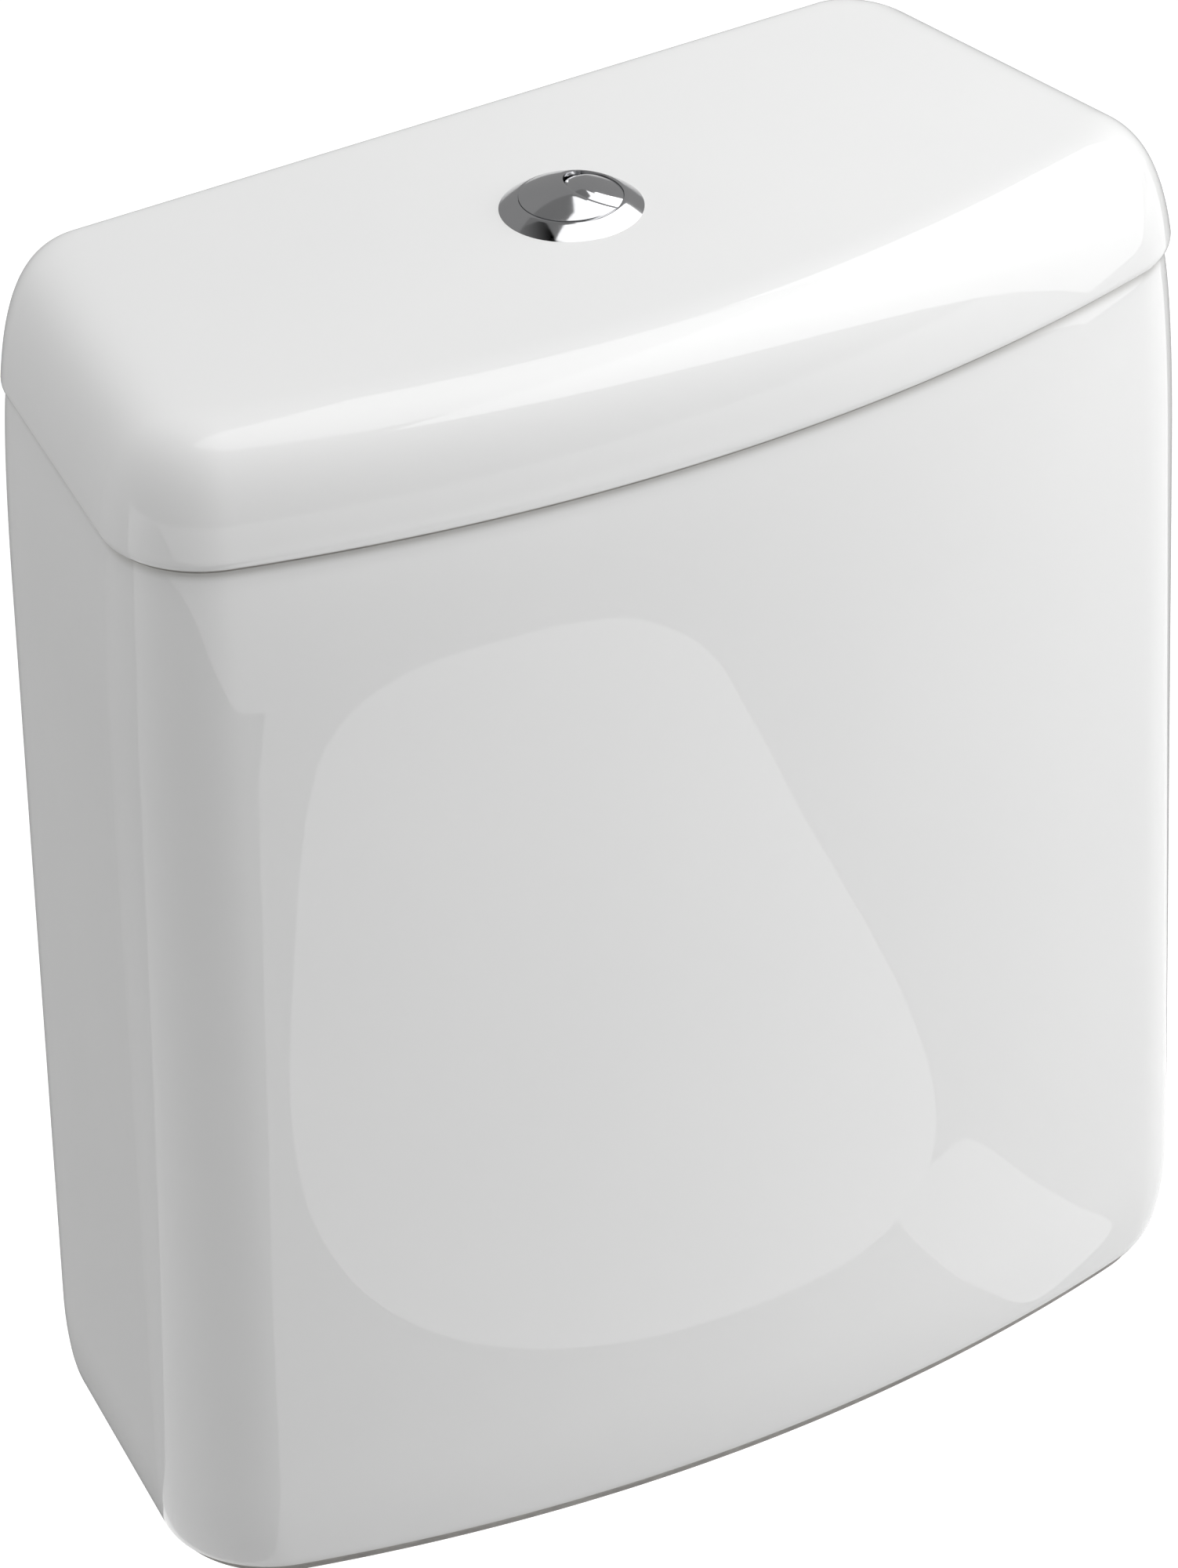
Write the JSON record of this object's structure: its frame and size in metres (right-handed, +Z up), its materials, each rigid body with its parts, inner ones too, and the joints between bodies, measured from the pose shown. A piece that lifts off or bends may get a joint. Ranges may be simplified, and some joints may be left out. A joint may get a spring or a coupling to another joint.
{
  "type": "toilet cistern",
  "caption": "Close coupled white glazed toilet cistern with a bowed front, lift-off lid and domed dual flush button, with flush valve, float fill valve and coupling bolts inside.",
  "frame": {"origin": "on the flush valve's axis, level with the underside of the tank's foot", "axes": "+Z up along the flush valve's axis, front of the cistern towards -Y, wall behind towards +Y"},
  "size_m": [0.3734, 0.1785, 0.477],
  "materials": {
    "china": "white gloss glaze",
    "chrome": "polished chrome plate",
    "white_plastic": "moulded satin",
    "grey_plastic": "moulded satin",
    "blue_plastic": "moulded satin",
    "red_plastic": "moulded satin",
    "rubber": "matt moulded rubber",
    "steel": "zinc plated",
    "brass": "machined brass"
  },
  "bodies": {
    "tank": {"tank": "china", "valve_base": "white_plastic", "base_washer": "rubber", "base_nut": "white_plastic", "pan_seal": "rubber", "valve_cage": "grey_plastic", "lever_pin": "steel", "supply_shank": "brass", "supply_washer": "rubber", "supply_nut": "brass", "supply_filter": "white_plastic", "riser": "white_plastic", "riser_nut": "blue_plastic", "valve_head": "white_plastic", "diaphragm": "rubber", "head_cap": "blue_plastic", "float_lever_pin": "steel", "silencer_tube": "grey_plastic", "coupling_bolts": "steel", "bolt_seals": "rubber", "bolt_washers": "steel", "pan_washers": "rubber", "wing_nuts": "steel"},
    "lid": {"lid": "china", "button_bezel": "chrome", "button_nut": "white_plastic", "full_return_spring": "steel", "half_return_spring": "steel"},
    "full_key": {"full_flush_key": "chrome", "full_push_rod": "white_plastic"},
    "half_key": {"half_flush_key": "chrome", "half_push_rod": "white_plastic"},
    "full_lever": {"full_lever": "blue_plastic"},
    "half_lever": {"half_lever": "red_plastic"},
    "full_tube": {"full_flush_tube": "blue_plastic", "main_seal": "rubber", "flush_float": "white_plastic"},
    "overflow": {"overflow_tube": "red_plastic", "half_seal": "rubber"},
    "float": {"float_cup": "grey_plastic", "float_link": "white_plastic"},
    "float_lever": {"float_lever": "red_plastic"},
    "plunger": {"plunger": "red_plastic"}
  },
  "joints": [
    {"name": "lid_lift", "type": "slide", "parent": "tank", "child": "lid", "axis": [0, 0, 1], "range_m": [0, 0.15]},
    {"name": "full_press", "type": "slide", "parent": "lid", "child": "full_key", "axis": [0, 0, -1], "range_m": [0, 0.006], "stiffness_N_per_m": 300, "springref_m": -0.01, "deforming": ["full_return_spring"]},
    {"name": "half_press", "type": "slide", "parent": "lid", "child": "half_key", "axis": [0, 0, -1], "range_m": [0, 0.006], "stiffness_N_per_m": 300, "springref_m": -0.01, "deforming": ["half_return_spring"]},
    {"name": "full_lever_tilt", "type": "hinge", "parent": "tank", "child": "full_lever", "pos_m": [0, -0.005, 0.3], "axis": [0, -1, 0], "range_deg": [0, 28.96]},
    {"name": "half_lever_tilt", "type": "hinge", "parent": "tank", "child": "half_lever", "pos_m": [0, 0.005, 0.3], "axis": [0, 1, 0], "range_deg": [0, 28.96]},
    {"name": "full_tube_lift", "type": "slide", "parent": "tank", "child": "full_tube", "axis": [0, 0, 1], "range_m": [0, 0.014]},
    {"name": "overflow_lift", "type": "slide", "parent": "full_tube", "child": "overflow", "axis": [0, 0, 1], "range_m": [0, 0.014]},
    {"name": "float_rise", "type": "slide", "parent": "tank", "child": "float", "axis": [0, 0, 1], "range_m": [0, 0.012]},
    {"name": "float_lever_tilt", "type": "hinge", "parent": "tank", "child": "float_lever", "pos_m": [0.105, -0.008, 0.311], "axis": [-1, 0, 0], "range_deg": [0, 27.78]},
    {"name": "plunger_press", "type": "slide", "parent": "tank", "child": "plunger", "axis": [0, 0, -1], "range_m": [0, 0.00384]}
  ],
  "couplings": [
    {"joint": "full_lever_tilt", "follows": "full_press", "rad_per_m": 84.227},
    {"joint": "full_tube_lift", "follows": "full_press", "ratio": 2.3333},
    {"joint": "half_lever_tilt", "follows": "half_press", "rad_per_m": 84.227},
    {"joint": "overflow_lift", "follows": "half_press", "ratio": 2.3333},
    {"joint": "float_lever_tilt", "follows": "float_rise", "rad_per_m": 40.394},
    {"joint": "plunger_press", "follows": "float_rise", "ratio": 0.32}
  ]
}
